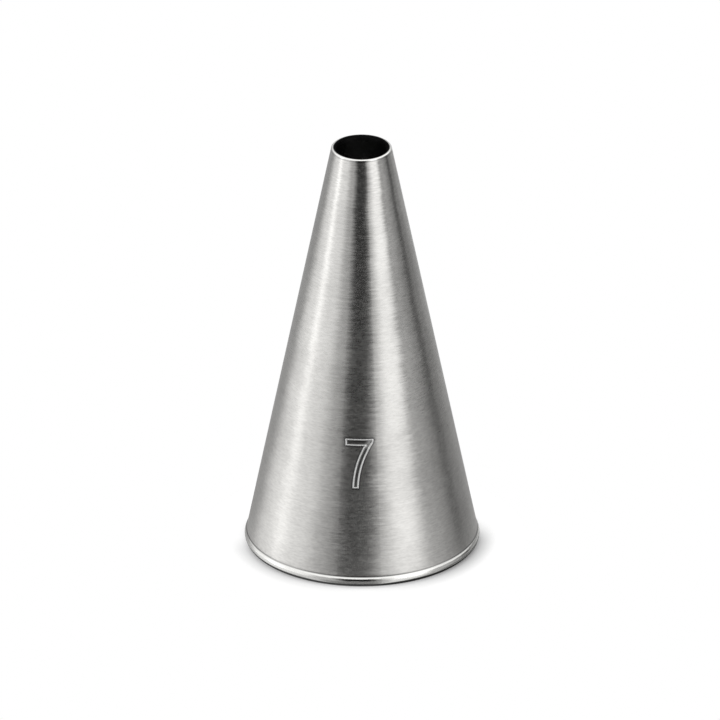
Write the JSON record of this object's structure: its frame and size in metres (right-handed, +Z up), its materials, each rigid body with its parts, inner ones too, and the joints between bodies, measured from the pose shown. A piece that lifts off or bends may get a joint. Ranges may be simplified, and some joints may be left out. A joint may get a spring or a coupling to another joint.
{
  "type": "piping nozzle",
  "caption": "Small round piping nozzle: a plain sheet steel cone with a straight round outlet and a rolled, wired rim to stand on.",
  "frame": {"origin": "centre of the flat ring on which the rolled rim stands", "axes": "+Z up the nozzle's axis, out of the outlet; the stamped size numeral faces -Y; +X to the right of someone who reads the numeral"},
  "size_m": [0.018, 0.018, 0.033],
  "materials": {
    "brushed_steel": "stainless sheet, brushed round the cone, with the rolled rim and the outlet's edge polished bright",
    "drawn_wire": "plain drawn stainless wire"
  },
  "bodies": {
    "root": {"cone_shell": "brushed_steel", "rim_wire": "drawn_wire"}
  },
  "joints": []
}
